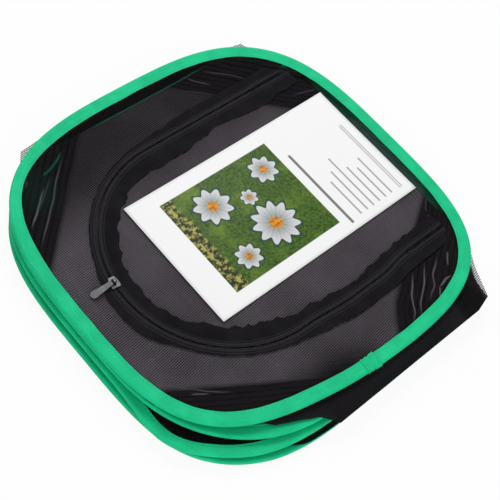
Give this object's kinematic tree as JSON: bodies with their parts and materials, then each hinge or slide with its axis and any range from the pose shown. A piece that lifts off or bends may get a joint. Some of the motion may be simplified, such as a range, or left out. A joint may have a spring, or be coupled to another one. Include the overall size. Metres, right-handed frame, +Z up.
{
  "type": "folding insect cage",
  "caption": "Pop-up netting cage for insects on sprung hoops with green binding, folded flat, with a zipped door and a loose leaflet on top.",
  "frame": {"origin": "bottom centre of the folded stack's bounding box", "axes": "+Z up; +X across the folds, from the left edges to the right edges; +Y from the front end to the back end"},
  "size_m": [0.3082, 0.3014, 0.0232],
  "materials": {
    "green_binding": "woven polyester tape",
    "spring_wire": "drawn spring steel",
    "black_netting": "fine polyester netting",
    "black_cloth": "fine netting in several layers",
    "zip_tape": "woven tape",
    "zip_coil": "nylon coil",
    "dark_metal": "dark plated zinc",
    "coated_card": "coated card, satin"
  },
  "bodies": {
    "panel_4": {"binding_4": "green_binding", "hoop_wire_4": "spring_wire", "crimp_ferrule_4": "spring_wire", "netting_4": "black_netting", "seam_3_4": "black_cloth", "seam_4_1": "black_cloth"},
    "panel_3": {"binding_3": "green_binding", "hoop_wire_3": "spring_wire", "crimp_ferrule_3": "spring_wire", "netting_3": "black_netting", "seam_2_3": "black_cloth"},
    "panel_2": {"binding_2": "green_binding", "hoop_wire_2": "spring_wire", "crimp_ferrule_2": "spring_wire", "netting_2": "black_netting", "seam_1_2": "black_cloth"},
    "panel_1": {"binding_1": "green_binding", "hoop_wire_1": "spring_wire", "crimp_ferrule_1": "spring_wire", "netting_1": "black_netting", "binding_end_1": "green_binding", "outer_zip_tape": "zip_tape", "outer_coil": "zip_coil", "end_stop_upper": "dark_metal", "end_stop_lower": "dark_metal"},
    "front_end": {"front_end_cloth": "black_cloth"},
    "back_end": {"back_end_cloth": "black_cloth"},
    "door": {"door_netting": "black_netting", "inner_zip_tape": "zip_tape", "inner_coil": "zip_coil"},
    "slider": {"zip_slider": "dark_metal"},
    "pull_tab": {"pull_tab": "dark_metal"},
    "leaflet": {"leaflet": "coated_card"}
  },
  "joints": [
    {"name": "unfold", "type": "hinge", "parent": "panel_4", "child": "panel_3", "pos_m": [-0.1546, 0.00615, 0.00515], "axis": [0, -1, 0], "range_deg": [0, 90], "deforming": ["seam_3_4", "seam_4_1"]},
    {"name": "fold_2_3", "type": "hinge", "parent": "panel_3", "child": "panel_2", "pos_m": [0.1578, 0.00615, 0.0107], "axis": [0, -1, 0], "range_deg": [-270, 0], "deforming": ["seam_2_3"]},
    {"name": "fold_1_2", "type": "hinge", "parent": "panel_2", "child": "panel_1", "pos_m": [-0.15041, 0.00615, 0.01625], "axis": [0, -1, 0], "range_deg": [0, 90], "deforming": ["seam_1_2"]},
    {"name": "front_end_turn", "type": "hinge", "parent": "panel_2", "child": "front_end", "pos_m": [0.0027, -0.15065, 0.01585], "axis": [1, 0, 0], "range_deg": [0, 90], "deforming": ["front_end_cloth"]},
    {"name": "back_end_turn", "type": "hinge", "parent": "panel_4", "child": "back_end", "pos_m": [0.0027, 0.13975, 0.00475], "axis": [-1, 0, 0], "range_deg": [0, 90], "deforming": ["back_end_cloth"]},
    {"name": "door_hinge", "type": "hinge", "parent": "panel_1", "child": "door", "pos_m": [0.13489, 0.00615, 0.01705], "axis": [0, 1, 0], "range_deg": [0, 90], "deforming": ["inner_zip_tape", "inner_coil"]},
    {"name": "slider_travel", "type": "hinge", "parent": "panel_1", "child": "slider", "pos_m": [-0.02031, 0.00515, 0], "axis": [0, 0, 1], "range_deg": [-72, 90]},
    {"name": "pull_tab_swing", "type": "hinge", "parent": "slider", "child": "pull_tab", "pos_m": [-0.10878, 0.01869, 0.0217], "axis": [0.1513, 0.9885, 0], "range_deg": [0, 170]},
    {"name": "leaflet_lift", "type": "slide", "parent": "door", "child": "leaflet", "axis": [0, 0, 1], "range_m": [0, 0.05]}
  ],
  "couplings": [
    {"joint": "fold_2_3", "follows": "unfold", "ratio": -3},
    {"joint": "fold_1_2", "follows": "unfold", "ratio": 1},
    {"joint": "front_end_turn", "follows": "unfold", "ratio": 1},
    {"joint": "back_end_turn", "follows": "unfold", "ratio": 1}
  ]
}
